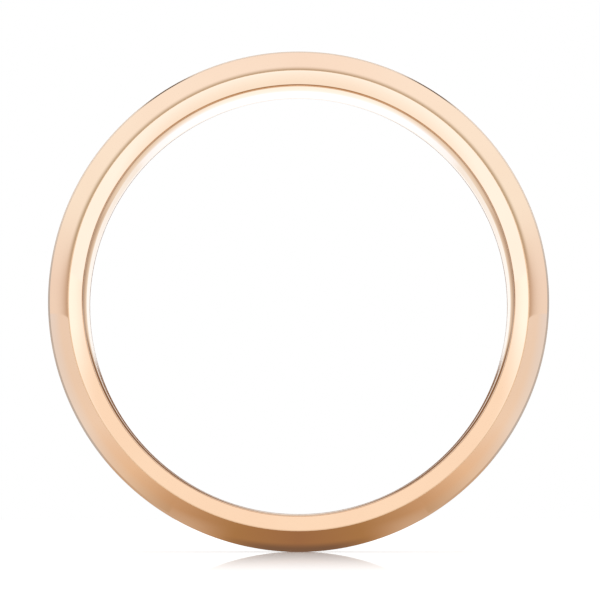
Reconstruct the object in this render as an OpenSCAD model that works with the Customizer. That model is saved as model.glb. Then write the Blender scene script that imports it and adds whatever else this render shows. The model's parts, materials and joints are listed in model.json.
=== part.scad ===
// Wedding band built up from four rings on one axis. A sleeve round the finger carries two
// bevelled edge rims with a crowned centre band between them. The band stands on its edge:
// the finger passes along Y, the front faces -Y, and the origin is the middle of the bore.
// The bore opens a little towards both ends, so that the band slides over the knuckle.

/* [Finger size] */
// Inside diameter of the straight part of the bore
bore_d = 18.8; // [15.0:0.1:23.0]
// Width of the whole band along the finger
band_w = 6.0; // [5.0:0.1:9.0]

/* [Inner sleeve] */
// Thickness of the sleeve at the straight part of the bore
sleeve_wall = 0.74; // [0.50:0.01:1.00]
// How far each rounded lip runs back from the end of the band
lip_depth = 0.33; // [0.20:0.01:0.50]
// Swell of each lip beyond a straight chamfer
lip_bulge = 0.02; // [0.01:0.01:0.06]
// How far each eased stretch of the bore runs on behind its lip
ease_depth = 1.50; // [0.80:0.05:1.70]
// How much wider in radius the bore is where it meets the lip
ease_rise = 0.06; // [0.05:0.01:0.15]
// Swell of each eased stretch beyond a straight taper
ease_bulge = 0.010; // [0.004:0.001:0.012]

/* [Edge rims] */
// Thickness of each rim
rim_wall = 0.80; // [0.60:0.01:1.20]
// Width of each rim along the finger
rim_w = 0.70; // [0.70:0.05:1.50]
// Depth of each bevel along the finger
bevel_depth = 0.40; // [0.36:0.01:0.60]
// Swell of each bevel beyond a straight chamfer
bevel_bulge = 0.070; // [0.020:0.005:0.090]

/* [Centre band] */
// Height of the centre band's shoulders above the rims
shoulder_rise = 0.10; // [0.06:0.01:0.30]
// Width of each sloping shoulder along the finger
shoulder_w = 0.17; // [0.06:0.01:0.40]
// Rise of the crown from the shoulders to the middle
crown_rise = 0.02; // [0.01:0.01:0.30]

/* [Joints] */
// Thickness of the soldered joints between neighbouring rings
solder_gap = 0.02; // [0.010:0.005:0.050]

/* [Hidden] */
$fn = 180;

// Facets of an arc's full circle, enough for the shallow crown to look round
arc_fn = 1440;

rose_gold = [0.93, 0.76, 0.63];

// Radii, from the finger outwards
bore_r = bore_d / 2;
ease_r = bore_r + ease_rise;
sleeve_r = bore_r + sleeve_wall;
seat_r = sleeve_r + solder_gap;
rim_r = seat_r + rim_wall;
shoulder_r = rim_r + shoulder_rise;
crown_r = shoulder_r + crown_rise;

// Places along the finger, from the middle of the band
band_end = band_w / 2;
lip_end = band_end - lip_depth;
land_end = lip_end - ease_depth;
rim_inner_end = band_end - rim_w;
centre_end = rim_inner_end - solder_gap;
crown_end = centre_end - shoulder_w;

// Spare size of the cutting shapes beyond the metal, and below an arc's chord
cut_reach = crown_r - bore_r;
cut_sink = solder_gap;

// Where the blanks of the sleeve and the rims end, before the arcs cut their ends
blank_end = band_end + cut_sink;

// Unit vector square to the line from a to b, on its left
function left_of(a, b) = [a.y - b.y, b.x - a.x] / norm(b - a);

// Radius of the arc from a to b that rises bulge above the straight line
function arc_r(a, b, bulge) = (pow(norm(b - a) / 2, 2) + pow(bulge, 2)) / (2 * bulge);

// Centre of that arc, which bulges to the left
function arc_centre(a, b, bulge) = (a + b) / 2 - left_of(a, b) * (arc_r(a, b, bulge) - bulge);

// Disc bounded by that arc
module arc_disc(a, b, bulge) {
    translate(arc_centre(a, b, bulge))
        circle(r = arc_r(a, b, bulge), $fn = arc_fn);
}

// Strip on the left of the line from a to b, longer than the line, that starts sink to its right
module beyond_line(a, b, sink = 0) {
    along = (b - a) / norm(b - a) * cut_reach;
    low = left_of(a, b) * -sink;
    high = left_of(a, b) * cut_reach;
    polygon([a - along + low, b + along + low, b + along + high, a - along + high]);
}

// Corner to take off a profile so that it ends in a convex arc from a to b
module beyond_arc(a, b, bulge) {
    difference() {
        beyond_line(a, b, cut_sink);
        arc_disc(a, b, bulge);
    }
}

// Oblong profile between two radii and two places along the finger
module profile_block(inner_r, outer_r, low_end, high_end) {
    translate([inner_r, low_end])
        square([outer_r - inner_r, high_end - low_end]);
}

// The children and their mirror image about the middle of the band
module both_ends() {
    children();
    mirror([0, 1])
        children();
}

// Ring about the finger's axis from a profile of radius and place along the finger
module ring() {
    color(rose_gold)
        rotate([90, 0, 0])
            rotate_extrude()
                children();
}

module inner_sleeve() {
    ring()
        difference() {
            profile_block(bore_r, sleeve_r, -blank_end, blank_end);
            both_ends() {
                beyond_arc([bore_r, land_end], [ease_r, lip_end], ease_bulge);
                beyond_arc([ease_r, lip_end], [sleeve_r, band_end], lip_bulge);
            }
        }
}

module front_rim() {
    ring()
        difference() {
            profile_block(seat_r, rim_r, rim_inner_end, blank_end);
            beyond_arc([seat_r, band_end], [rim_r, band_end - bevel_depth], bevel_bulge);
        }
}

module centre_band() {
    ring()
        difference() {
            intersection() {
                profile_block(seat_r, crown_r + cut_reach, -centre_end, centre_end);
                arc_disc([shoulder_r, crown_end], [shoulder_r, -crown_end], crown_rise);
            }
            both_ends()
                beyond_line([rim_r, centre_end], [shoulder_r, crown_end]);
        }
}

// The same ring as the front rim, turned end for end
module rear_rim() {
    rotate([0, 0, 180])
        front_rim();
}

inner_sleeve();
front_rim();
centre_band();
rear_rim();
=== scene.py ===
"""Looks of the wedding band: four rose gold rings, soldered and polished, on a white sheet."""

import cmath
import json
import math
from collections import namedtuple

import bpy
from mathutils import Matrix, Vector


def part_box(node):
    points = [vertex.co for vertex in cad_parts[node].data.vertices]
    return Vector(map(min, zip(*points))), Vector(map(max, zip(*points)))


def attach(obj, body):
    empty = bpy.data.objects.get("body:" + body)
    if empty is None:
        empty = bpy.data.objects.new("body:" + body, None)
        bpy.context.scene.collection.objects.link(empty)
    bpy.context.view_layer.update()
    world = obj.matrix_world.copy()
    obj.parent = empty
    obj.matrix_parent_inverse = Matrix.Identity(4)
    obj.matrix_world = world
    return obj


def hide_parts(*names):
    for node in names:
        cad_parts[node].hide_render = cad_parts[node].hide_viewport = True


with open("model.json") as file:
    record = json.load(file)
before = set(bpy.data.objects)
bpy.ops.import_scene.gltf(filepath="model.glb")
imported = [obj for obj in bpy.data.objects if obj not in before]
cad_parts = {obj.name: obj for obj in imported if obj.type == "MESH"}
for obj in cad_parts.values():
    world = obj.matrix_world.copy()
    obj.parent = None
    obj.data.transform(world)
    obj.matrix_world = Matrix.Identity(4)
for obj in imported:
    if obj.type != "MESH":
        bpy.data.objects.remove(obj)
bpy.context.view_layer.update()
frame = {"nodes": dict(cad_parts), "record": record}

MM = 0.001
BODY = "root"

# Mesh: segments round the ring, the largest turn between two points of an arc, the fewest steps
# along an arc, and the steps across a worn edge
SEGMENTS = 288
ARC_STEP = math.radians(2.5)
ARC_STEPS = 8
EDGE_STEPS = 6

# How far polishing has worn each kind of edge back from its corner
OPEN_EDGE = 0.030 * MM
BORE_EDGE = 0.110 * MM
CREST_EDGE = 0.085 * MM
SEAM_EDGE = 0.002 * MM

# What the solder leaves open of the joint between the sleeve and the rims
HAIRLINE = 0.001 * MM

# Places that are closer than this along a section count as one
TOUCH = 0.002 * MM

# Two sides that turn less than this, as a sine, have no edge between them
LEAST_TURN = 0.001

# Finish: how fast the marks change on their way round the ring, the size of the alloy's drift, the
# range that most of a noise lies in, and the share of the marks that a bright edge keeps
MARK_CHANGES = 4.0
DRIFT_SIZE = 3.0 * MM
NOISE_LOW, NOISE_HIGH = 0.3, 0.7
BRIGHT_SHARE = 0.18

# Studio sheet: its size and white, and how far and how strongly it mirrors the band
SHEET_RADIUS = 600 * MM
SHEET_SIDES = 96
SHEET_WHITE = (0.75, 0.75, 0.75)
SHEET_GLOW = 0.46
SHEET_IOR = 1.45
GLOSS_REACH = 85 * MM
GLOSS_STRENGTH = 0.70

# Card bent round the band: its radius, its two edges as distances in front of the band's middle,
# and the steps along it
COLLAR_RADIUS = 13 * MM
COLLAR_FRONT = 12.5 * MM
COLLAR_BACK = 1.4 * MM
COLLAR_STEPS = 120

# Camera: its distance from the band's middle, its height above the sheet, and its lens
CAMERA_DISTANCE = 174 * MM
CAMERA_HEIGHT = 1.8 * MM
CAMERA_CLIP = (0.01, 10)
SENSOR = 36.0
LENS = 234.0
IMAGE_PIXELS = 600
BAND_MIDDLE_PIXEL = (298.6, 299.8)

# Tones that more than one part of the studio has
WHITE = (1, 1, 1)
WARM_WHITE = (1.05, 0.94, 0.86)
PALE_TAN = (0.86, 0.72, 0.58)
TAN = (0.68, 0.52, 0.40)
FULL_TAN = (0.66, 0.50, 0.38)
DULL_TAN = (0.60, 0.45, 0.33)
PALE_BROWN = (0.50, 0.36, 0.26)
REAR_BROWN = (0.46, 0.31, 0.21)
BROWN = (0.38, 0.26, 0.17)
GREY = (0.55, 0.55, 0.58)


# Sizes of the band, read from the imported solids.
# A point of a section is a complex number: the radius, and the place along the finger times 1j.

def cross(a, b):
    return (a.conjugate() * b).imag


def section(node):
    """The points of a ring's section."""
    verts = frame["nodes"][node].data.vertices
    return [complex(math.hypot(vert.co.x, vert.co.z), vert.co.y) for vert in verts]


def bulge_between(node, start, end):
    """How far a section's arc from start to end swells outwards from the straight line."""
    half = abs(end - start) / 2
    along = (end - start) / (2 * half)
    places = [(point - start) / along for point in section(node)]
    swells = [(-place.imag, place.real) for place in places if 0 < place.real < 2 * half]
    height, distance = max(swells)
    rise = (height ** 2 + (distance - half) ** 2 - half ** 2) / (2 * height)
    return rise + math.hypot(half, rise)


def corner_between(node, start, end):
    """The point of a section that lies farthest outside the line from start to end."""
    return min(section(node), key=lambda point: cross(end - start, point - start))


finger_bore = frame["record"]["mounts"][0]["dims"]
land_start = complex(finger_bore["r_mm"], finger_bore["length_mm"] / 2) * MM

sleeve_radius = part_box("inner_sleeve")[1].x
band_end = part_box("inner_sleeve")[1].y
lip_start = complex(sleeve_radius, band_end)
lip_finish = corner_between("inner_sleeve", lip_start, land_start)
lip_bulge = bulge_between("inner_sleeve", lip_start, lip_finish)
ease_bulge = bulge_between("inner_sleeve", lip_finish, land_start)

rim_points = section("rear_rim")
rim_radius = max(point.real for point in rim_points)
rim_inner_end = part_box("rear_rim")[0].y
seat_radius = min(point.real for point in rim_points)
outer_points = [point for point in rim_points if point.real > rim_radius - TOUCH]
bevel_start = max(outer_points, key=lambda point: point.imag)
bevel_finish = complex(seat_radius, band_end)
bevel_bulge = bulge_between("rear_rim", bevel_start, bevel_finish)

centre_points = section("centre_band")
centre_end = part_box("centre_band")[1].y
crown_end = max(point.imag for point in centre_points if point.real > rim_radius + TOUCH)
shoulder_radius = max(point.real for point in centre_points if point.imag > crown_end - TOUCH)
crown_radius = min(
    abs(size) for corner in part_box("centre_band") for size in (corner.x, corner.z))
crown_bulge = crown_radius - shoulder_radius


# Turned shapes

Corner = namedtuple("Corner", "point worn bulge", defaults=(0,))


class Side:
    """One side of a section, straight or an arc that swells outwards by bulge."""

    def __init__(self, start, end, bulge):
        self.start = start
        self.end = end
        self.length = abs(end - start)
        self.direction = (end - start) / self.length
        self.sweep = 0
        if bulge:
            radius = (self.length ** 2 / 4 + bulge ** 2) / (2 * bulge)
            self.centre = (start + end) / 2 + 1j * self.direction * (radius - bulge)
            self.sweep = 2 * math.asin(self.length / (2 * radius))

    def at(self, share):
        """The point and the direction of travel at a share of the way along."""
        if not self.sweep:
            return self.start + (self.end - self.start) * share, self.direction
        turn = cmath.exp(1j * self.sweep * share)
        direction = self.direction * cmath.exp(1j * self.sweep * (share - 0.5))
        return self.centre + (self.start - self.centre) * turn, direction


def worn_edge(start, end):
    """Points inside the rounded edge that leads from one side into the next."""
    (point, direction), (next_point, next_direction) = start, end
    if abs(cross(direction, next_direction)) < LEAST_TURN:
        return []
    reach = cross(next_point - point, next_direction) / cross(direction, next_direction)
    corner = point + direction * reach
    made = []
    for step in range(1, EDGE_STEPS):
        share = step / EDGE_STEPS
        before = point + (corner - point) * share
        after = corner + (next_point - corner) * share
        made.append((before + (after - before) * share, (after - before) / abs(after - before)))
    return made


def outline(corners):
    """Points round a section, anticlockwise, with the direction of travel at each."""
    next_corners = corners[1:] + corners[:1]
    pairs = list(zip(corners, next_corners))
    sides = [Side(corner.point, after.point, corner.bulge) for corner, after in pairs]
    next_sides = sides[1:] + sides[:1]
    made = []
    for (corner, after), side, next_side in zip(pairs, sides, next_sides):
        first = corner.worn / side.length
        last = 1 - after.worn / side.length
        steps = max(ARC_STEPS, math.ceil(side.sweep / ARC_STEP)) if side.sweep else 1
        made += [side.at(first + (last - first) * step / steps) for step in range(steps + 1)]
        made += worn_edge(made[-1], next_side.at(after.worn / next_side.length))
    return made


def mirrored(corners):
    """The same section, turned end for end."""
    back = corners[::-1]
    bulges = [corner.bulge for corner in back[1:] + back[:1]]
    return [
        Corner(corner.point.conjugate(), corner.worn, bulge)
        for corner, bulge in zip(back, bulges)
    ]


def turned(point, angle):
    """A section's point or direction, carried round the finger's axis."""
    return Vector((point.real * math.cos(angle), point.imag, point.real * math.sin(angle)))


def lathe(node, corners, material):
    """The ring with that section, in the place of its solid."""
    points = outline(corners)
    count = len(points)
    angles = [math.tau * segment / SEGMENTS for segment in range(SEGMENTS)]
    verts = [turned(point, angle) for angle in angles for point, _ in points]
    normals = [turned(-1j * direction, angle) for angle in angles for _, direction in points]
    faces = []
    for segment in range(SEGMENTS):
        here = segment * count
        there = (segment + 1) % SEGMENTS * count
        for i in range(count):
            after = (i + 1) % count
            faces.append((here + i, here + after, there + after, there + i))
    mesh = bpy.data.meshes.new(node + "_polished")
    mesh.from_pydata(verts, [], faces)
    mesh.shade_smooth()
    mesh.normals_split_custom_set_from_vertices(normals)
    mesh.materials.append(material)
    ring = bpy.data.objects.new(node + "_polished", mesh)
    bpy.context.scene.collection.objects.link(ring)
    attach(ring, BODY)
    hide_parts(node)


# Shader nodes

class Graph:
    """A node tree, with a short call for each kind of node that is used often."""

    def __init__(self, owner):
        owner.use_nodes = True
        self.tree = owner.node_tree
        self.tree.nodes.clear()

    def node(self, kind, inputs=None, **settings):
        made = self.tree.nodes.new("ShaderNode" + kind)
        for name, value in settings.items():
            setattr(made, name, value)
        for name, value in (inputs or {}).items():
            self.feed(made.inputs[name], value)
        return made

    def first(self, kind, inputs=None, **settings):
        """The first output of a new node."""
        return self.node(kind, inputs, **settings).outputs[0]

    def feed(self, socket, value):
        """Gives a socket its value: another socket, a number, or a colour of three numbers."""
        if isinstance(value, bpy.types.NodeSocket):
            self.tree.links.new(value, socket)
        elif socket.type == "RGBA":
            socket.default_value = (*value, 1)
        else:
            socket.default_value = value

    def math(self, operation, *values):
        return self.first("Math", dict(enumerate(values)), operation=operation)

    def product(self, *values):
        made, *others = values
        for value in others:
            made = self.math("MULTIPLY", made, value)
        return made

    def step(self, value, low, high):
        """0 at low and 1 at high, with a smooth run between them."""
        inputs = {"Value": value, "From Min": low, "From Max": high}
        return self.first("MapRange", inputs, interpolation_type="SMOOTHSTEP")

    def zone(self, *limits):
        """1 where every value has passed its limit. A limit is a value, its low and its high."""
        return self.product(*(self.step(*limit) for limit in limits))

    def mix(self, share, low, high, blend_type="MIX"):
        """The colour low at a share of 0, and high, or what low and high blend to, at 1."""
        inputs = {0: share, 6: low, 7: high}
        return self.node("Mix", inputs, data_type="RGBA", blend_type=blend_type).outputs[2]

    def ramp(self, value, stops):
        """The colours at the stops, and what lies between them."""
        made = self.node("ValToRGB", {0: value})
        elements = made.color_ramp.elements
        while len(elements) < len(stops):
            elements.new(1.0)
        for element, (position, colour) in zip(elements, stops):
            element.position = position
            element.color = (*colour, 1)
        return made.outputs[0]

    def place(self, output):
        return self.node("TexCoord").outputs[output]

    def split(self, vector):
        return self.node("SeparateXYZ", {0: vector}).outputs

    def length(self, vector):
        return self.node("VectorMath", {0: vector}, operation="LENGTH").outputs["Value"]

    def off_axis(self, x, z):
        """Distance from the finger's axis."""
        return self.length(self.first("CombineXYZ", {0: x, 2: z}))

    def metal_ray(self):
        """1 for a ray that the metal reflects, 0 for one from the camera or the sheet's mirror."""
        path = self.node("LightPath").outputs
        blurred = self.math("SUBTRACT", 1.0, path["Is Singular Ray"])
        return self.product(path["Is Glossy Ray"], blurred)

    def show(self, shader, tone):
        """Ends a stage material: the metal sees the tone, and every other ray the shader."""
        glow = self.first("Emission", {"Color": tone, "Strength": 1.0})
        surface = self.first("MixShader", {0: self.metal_ray(), 1: shader, 2: glow})
        self.node("OutputMaterial", {"Surface": surface})


def rose_gold(name, tone, deep_tone, smooth, rough, line_pitch, line_depth, bright_from=None):
    """Rose gold with the fine marks that polishing or brushing leaves round the ring.

    From the place bright_from along the finger outwards most of the marks are polished away.
    """
    material = bpy.data.materials.new(name)
    graph = Graph(material)
    x, y, z = graph.split(graph.place("Object"))
    radius = graph.off_axis(x, z)
    cosine = graph.math("DIVIDE", x, radius)
    sine = graph.math("DIVIDE", z, radius)

    # Marks that run round the ring: they change fast across it and slowly along it
    across = graph.first("CombineXYZ", {
        0: graph.math("DIVIDE", radius, line_pitch),
        1: graph.math("DIVIDE", y, line_pitch),
        2: graph.math("MULTIPLY", cosine, MARK_CHANGES),
    })
    lines = graph.first("TexNoise", {
        "Vector": across,
        "W": graph.math("MULTIPLY", sine, MARK_CHANGES),
        "Scale": 1.0,
        "Detail": 3.0,
        "Roughness": 0.6,
    }, noise_dimensions="4D")
    finish = graph.first("MapRange", {
        "Value": lines,
        "From Min": NOISE_LOW,
        "From Max": NOISE_HIGH,
        "To Min": smooth,
        "To Max": rough,
    })
    if bright_from:
        across_band = graph.math("ABSOLUTE", y)
        marked = graph.step(across_band, bright_from, bright_from - OPEN_EDGE)
        left = graph.math("MULTIPLY_ADD", marked, 1 - BRIGHT_SHARE, BRIGHT_SHARE)
        finish = graph.math("MULTIPLY", finish, left)
        line_depth = graph.math("MULTIPLY", line_depth, left)
    bump = graph.first("Bump", {"Height": lines, "Strength": 1.0, "Distance": line_depth})

    # Slow drift of the alloy's tone
    drift = graph.first("TexNoise", {
        "Vector": graph.place("Object"),
        "Scale": 1 / DRIFT_SIZE,
        "Detail": 2.0,
    })
    colour = graph.mix(graph.step(drift, NOISE_LOW, NOISE_HIGH), tone, deep_tone)

    shader = graph.first("BsdfPrincipled", {
        "Base Color": colour,
        "Metallic": 1.0,
        "Roughness": finish,
        "Normal": bump,
    })
    output = graph.node("OutputMaterial", {"Surface": shader})
    output.is_active_output = True
    return material


# The four rings

sleeve_gold = rose_gold(
    "sleeve_gold", tone=(0.945, 0.750, 0.570), deep_tone=(0.935, 0.730, 0.550),
    smooth=0.03, rough=0.07, line_pitch=0.10 * MM, line_depth=0.0002 * MM)
rim_gold = rose_gold(
    "rim_gold", tone=(0.945, 0.745, 0.565), deep_tone=(0.935, 0.725, 0.545),
    smooth=0.03, rough=0.07, line_pitch=0.10 * MM, line_depth=0.0002 * MM)
centre_gold = rose_gold(
    "centre_gold", tone=(0.945, 0.755, 0.585), deep_tone=(0.925, 0.725, 0.550),
    smooth=0.22, rough=0.34, line_pitch=0.06 * MM, line_depth=0.0015 * MM,
    bright_from=crown_end)

# The lip rolls over to a flat crest at the joint with the rim
lip = Side(lip_start, lip_finish, lip_bulge)
roll_start, roll_direction = lip.at(CREST_EDGE / lip.length)
roll_tilt = cmath.phase(-roll_direction)
roll_width = sleeve_radius - roll_start.real
crest = roll_start + roll_width * complex(1, math.tan(roll_tilt / 2))
roll_bulge = abs(crest - roll_start) / 2 * math.tan(roll_tilt / 4)
rest_bulge = lip_bulge * (abs(lip_finish - roll_start) / lip.length) ** 2

sleeve_section = [
    Corner(crest, SEAM_EDGE, roll_bulge),
    Corner(roll_start, SEAM_EDGE, rest_bulge),
    Corner(lip_finish, BORE_EDGE, ease_bulge),
    Corner(land_start, OPEN_EDGE),
    Corner(land_start.conjugate(), OPEN_EDGE, ease_bulge),
    Corner(lip_finish.conjugate(), BORE_EDGE, rest_bulge),
    Corner(roll_start.conjugate(), SEAM_EDGE, roll_bulge),
    Corner(crest.conjugate(), SEAM_EDGE),
]
joint_radius = sleeve_radius + HAIRLINE
rear_section = [
    Corner(complex(joint_radius, rim_inner_end), SEAM_EDGE),
    Corner(complex(rim_radius, rim_inner_end), SEAM_EDGE),
    Corner(bevel_start, OPEN_EDGE, bevel_bulge),
    Corner(complex(joint_radius, band_end), SEAM_EDGE),
]
centre_section = [
    Corner(complex(seat_radius, -centre_end), SEAM_EDGE),
    Corner(complex(rim_radius, -centre_end), SEAM_EDGE),
    Corner(complex(shoulder_radius, -crown_end), OPEN_EDGE, crown_bulge),
    Corner(complex(shoulder_radius, crown_end), OPEN_EDGE),
    Corner(complex(rim_radius, centre_end), SEAM_EDGE),
    Corner(complex(seat_radius, centre_end), SEAM_EDGE),
]
lathe("inner_sleeve", sleeve_section, sleeve_gold)
lathe("front_rim", mirrored(rear_section), rim_gold)
lathe("centre_band", centre_section, centre_gold)
lathe("rear_rim", rear_section, rim_gold)


# Studio.
# The camera and diffuse light meet plain white. Rays that the metal reflects meet tones of their
# own in the sheet, the card and the tent: painted reflections, which stand for a studio that isn't
# known, with painted shade of the band in the sheet and the card.

# A place's slant on the sheet is how far it lies to the side for its distance behind the band's
# middle, which counts as this much at least. The ramps run over slants up to the second number.
SLANT_FROM = 1 * MM
SLANT_RANGE = 2.0

# How far to the side the painted shade round the foot changes
FOOT_REACH = 12 * MM

# The last tones of both ramps over slant
STEEP_SLANT = [(0.43, BROWN), (0.54, BROWN), (0.66, GREY)]


def sheet_tone(graph):
    """The sheet in the metal, as painted reflection: pale in front and straight behind, tan or
    brown elsewhere, with painted shade close behind and round the band's foot.
    """
    place = graph.place("Object")
    distance = graph.length(place)
    x, y, _ = graph.split(place)
    sideways = graph.math("ABSOLUTE", x)
    slant = graph.math("DIVIDE", sideways, graph.math("MAXIMUM", y, SLANT_FROM))
    slant_share = graph.math("DIVIDE", slant, SLANT_RANGE)

    # In front, cooler farther out
    far_out = graph.step(distance, 14 * MM, 40 * MM)
    front = graph.mix(far_out, (1.03, 1.01, 1.00), (1.12, 1.20, 1.30))

    # Far behind, darker to the sides
    far_out = graph.step(distance, 100 * MM, 190 * MM)
    straight = graph.mix(far_out, (1.10, 1.06, 1.00), (1.12, 1.17, 1.27))
    slanting = graph.ramp(slant_share, [
        (0.065, PALE_TAN),
        (0.09, TAN),
        (0.12, DULL_TAN),
        (0.30, PALE_BROWN),
        *STEEP_SLANT,
    ])
    behind = graph.mix(graph.step(slant, 0.05, 0.13), straight, slanting)
    tone = graph.mix(graph.step(y, 10 * MM, 50 * MM), front, behind)

    # Close behind, painted shade that the bore's edge and the outer edge show
    close_behind = graph.zone((y, -1 * MM, 2 * MM), (y, 50 * MM, 30 * MM))
    tone = graph.mix(close_behind, tone, graph.ramp(slant_share, [
        (0.00, (0.85, 0.70, 0.58)),
        (0.08, TAN),
        (0.16, FULL_TAN),
        (0.24, DULL_TAN),
        (0.33, PALE_BROWN),
        *STEEP_SLANT,
    ]))

    # Painted shade of the band round its foot, warm from the gold, darkest in the middle and just
    # under the front rim
    shade = graph.ramp(graph.math("DIVIDE", sideways, FOOT_REACH), [
        (0.00, (0.35, 0.19, 0.10)),
        (0.25, (0.41, 0.24, 0.11)),
        (0.53, (0.58, 0.38, 0.235)),
        (0.78, (0.72, 0.52, 0.37)),
        (1.00, (0.84, 0.64, 0.49)),
    ])
    beside_rim = graph.zone((y, -5 * MM, -2.5 * MM), (sideways, 3 * MM, 6 * MM))
    shade = graph.mix(beside_rim, shade, (0.62, 0.47, 0.36))
    under_rim = graph.zone((y, -3.1 * MM, -2.6 * MM), (sideways, 4 * MM, 1 * MM))
    shade = graph.mix(under_rim, shade, (0.20, 0.125, 0.085))
    round_foot = graph.zone(
        (y, -17 * MM, -11 * MM), (y, 4 * MM, 1 * MM), (sideways, 17 * MM, 12 * MM))
    return graph.mix(round_foot, tone, shade)


def sheet_material():
    """White sheet that mirrors the band close to where it stands."""
    material = bpy.data.materials.new("studio_sheet")
    graph = Graph(material)
    near = graph.step(graph.length(graph.place("Object")), GLOSS_REACH, 0)
    gloss = graph.product(graph.first("Fresnel", {"IOR": SHEET_IOR}), near, GLOSS_STRENGTH)
    white = graph.first("BsdfDiffuse", {"Color": SHEET_WHITE})
    glow = graph.first("Emission", {"Color": WHITE, "Strength": SHEET_GLOW})
    bright = graph.first("AddShader", {0: white, 1: glow})
    mirror = graph.first("BsdfGlossy", {"Color": WHITE, "Roughness": 0.0})
    graph.show(graph.first("MixShader", {0: gloss, 1: bright, 2: mirror}), sheet_tone(graph))
    return material


bpy.ops.mesh.primitive_circle_add(
    vertices=SHEET_SIDES, radius=SHEET_RADIUS, fill_type="NGON", location=(0, 0, -crown_radius))
sheet = bpy.context.object
sheet.name = "studio_sheet"
sheet.data.materials.append(sheet_material())


def collar_tone(graph):
    """The card in the metal, a painted reflection: warmer and darker towards its feet, where it
    paints the band's shade, and along its front edge.

    Seen from across the bore, its lower half is dark with painted shade and its upper half plain.
    """
    _, y, z = graph.split(graph.place("Object"))
    height = graph.math("DIVIDE", z, COLLAR_RADIUS)

    # From the top of the card down to its feet, with painted shade towards the feet
    down = graph.math("DIVIDE", graph.math("ARCCOSINE", height), math.pi)
    tone = graph.ramp(down, [
        (0.00, (1.02, 0.98, 1.00)),
        (0.17, (1.04, 1.03, 1.05)),
        (0.36, (1.02, 1.03, 1.04)),
        (0.47, (0.93, 0.86, 0.86)),
        (0.58, (0.91, 0.84, 0.81)),
        (0.67, (0.94, 0.84, 0.78)),
        (0.75, (0.86, 0.67, 0.52)),
        (0.82, (0.62, 0.42, 0.27)),
    ])

    # From its back to its front edge, with a sharp change at the horizon
    lower = graph.mix(
        graph.step(y, -5.5 * MM, -2.5 * MM), (0.97, 0.95, 0.93), (0.93, 1.01, 1.12))
    sides = graph.mix(graph.step(y, -3.2 * MM, -10 * MM), WHITE, (0.66, 0.55, 0.45))
    upper = graph.mix(graph.step(y, -6.2 * MM, -9.2 * MM), WHITE, (0.55, 0.48, 0.38))
    tint = graph.mix(graph.step(height, 0.05, 0.35), sides, upper)
    tint = graph.mix(graph.step(height, -0.051, -0.041), lower, tint)
    tone = graph.mix(1.0, tone, tint, blend_type="MULTIPLY")

    # From across the bore: painted shade, deep brown in the lower half
    deep = graph.mix(graph.step(y, -7.5 * MM, -5.0 * MM), tone, (0.16, 0.08, 0.035))
    opposite = graph.mix(graph.step(height, 0.05, 0.25), deep, WARM_WHITE)
    ray_length = graph.node("LightPath").outputs["Ray Length"]
    return graph.mix(graph.step(ray_length, 20 * MM, 22 * MM), tone, opposite)


def collar_material():
    """Card that only the metal sees: it glows with painted reflection and painted shade."""
    material = bpy.data.materials.new("painted_reflection_card")
    graph = Graph(material)
    graph.show(graph.first("BsdfTransparent"), collar_tone(graph))
    return material


# The card runs from the sheet on one side over the top of the band to the sheet on the other
foot_angle = math.acos(-crown_radius / COLLAR_RADIUS)
verts = []
for step in range(COLLAR_STEPS + 1):
    angle = foot_angle * (2 * step / COLLAR_STEPS - 1)
    for place in (-COLLAR_FRONT, -COLLAR_BACK):
        verts.append((COLLAR_RADIUS * math.sin(angle), place, COLLAR_RADIUS * math.cos(angle)))
faces = [(2 * i, 2 * i + 1, 2 * i + 3, 2 * i + 2) for i in range(COLLAR_STEPS)]
mesh = bpy.data.meshes.new("painted_reflection_card")
mesh.from_pydata(verts, [], faces)
mesh.materials.append(collar_material())
collar = bpy.data.objects.new("painted_reflection_card", mesh)
collar.visible_camera = False
collar.visible_diffuse = False
collar.visible_shadow = False
collar.visible_transmission = False
bpy.context.scene.collection.objects.link(collar)


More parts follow.
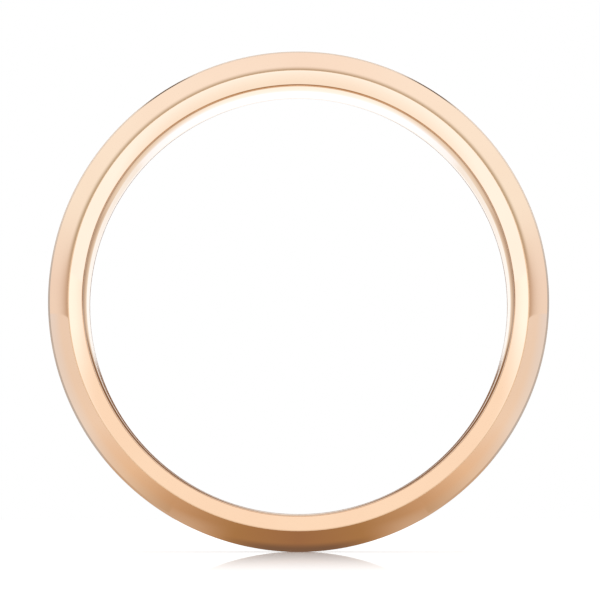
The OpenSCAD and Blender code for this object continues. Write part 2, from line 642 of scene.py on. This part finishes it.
def tent_tone(graph):
    """The tent in the metal, painted reflection tones by direction: y is straight behind the band,
    and z straight up.
    """
    x, y, z = graph.split(graph.place("Generated"))
    front = graph.math("MULTIPLY", y, -1.0)
    side = graph.math("ABSOLUTE", x)

    # In front, brighter and cooler low down
    low = graph.mix(graph.step(front, 0.40, 0.75), (1.02, 1.01, 1.02), (1.22, 1.26, 1.34))
    tone = graph.mix(graph.step(z, 0.10, 0.40), low, WARM_WHITE)

    # Beside and behind, with two dark cards high up
    flank = graph.mix(graph.step(z, 0.0, 0.5), (0.50, 0.53, 0.59), (0.90, 0.92, 0.96))
    tone = graph.mix(graph.step(y, 0.10, 0.30), tone, flank)
    card = graph.zone(
        (side, 0.30, 0.38), (side, 0.51, 0.44), (y, 0.44, 0.52), (y, 0.70, 0.62), (z, 0.3, 0.4))
    tone = graph.mix(card, tone, (0.12, 0.11, 0.10))
    tone = graph.mix(graph.step(y, 0.62, 0.72), tone, REAR_BROWN)

    # Straight behind, as the bore shows it: white in the middle, with brown above
    rear = graph.ramp(graph.off_axis(x, z), [
        (0.082, (1.05, 1.03, 1.01)),
        (0.118, PALE_TAN),
        (0.165, FULL_TAN),
        (0.24, REAR_BROWN),
    ])
    above = graph.zone((z, 0.070, 0.095), (side, 0.0, 0.03))
    spot = graph.zone((z, 0.012, 0.028), (z, 0.085, 0.060), (side, 0.027, 0.018))
    rear = graph.mix(graph.math("MAXIMUM", above, spot), rear, (0.24, 0.11, 0.045))
    tone = graph.mix(graph.step(y, 0.94, 0.965), tone, rear)

    # The opening where the camera looks in
    return graph.mix(graph.step(front, 0.88, 0.975), tone, (0.88, 0.76, 0.64))


def light_tent():
    """White tent round the band, which lights it from all sides."""
    world = bpy.data.worlds.new("light_tent")
    graph = Graph(world)
    colour = graph.mix(graph.metal_ray(), WHITE, tent_tone(graph))
    light = graph.first("Background", {"Color": colour, "Strength": 1.0})
    graph.node("OutputWorld", {"Surface": light})
    return world


scene = bpy.context.scene
scene.world = light_tent()
scene.view_settings.view_transform = "Standard"


# Camera, low in front of the band and turned up to its near edge

pixel = CAMERA_DISTANCE * SENSOR / (LENS * IMAGE_PIXELS)
aim = Vector((
    (IMAGE_PIXELS / 2 - BAND_MIDDLE_PIXEL[0]) * pixel,
    -band_end,
    (BAND_MIDDLE_PIXEL[1] - IMAGE_PIXELS / 2) * pixel,
))
camera = bpy.data.objects.new("camera", bpy.data.cameras.new("camera"))
camera.location = (0, -CAMERA_DISTANCE, CAMERA_HEIGHT - crown_radius)
camera.rotation_euler = (aim - camera.location).to_track_quat("-Z", "Y").to_euler()
camera.data.lens = LENS
camera.data.sensor_width = SENSOR
camera.data.clip_start, camera.data.clip_end = CAMERA_CLIP
scene.collection.objects.link(camera)
scene.camera = camera
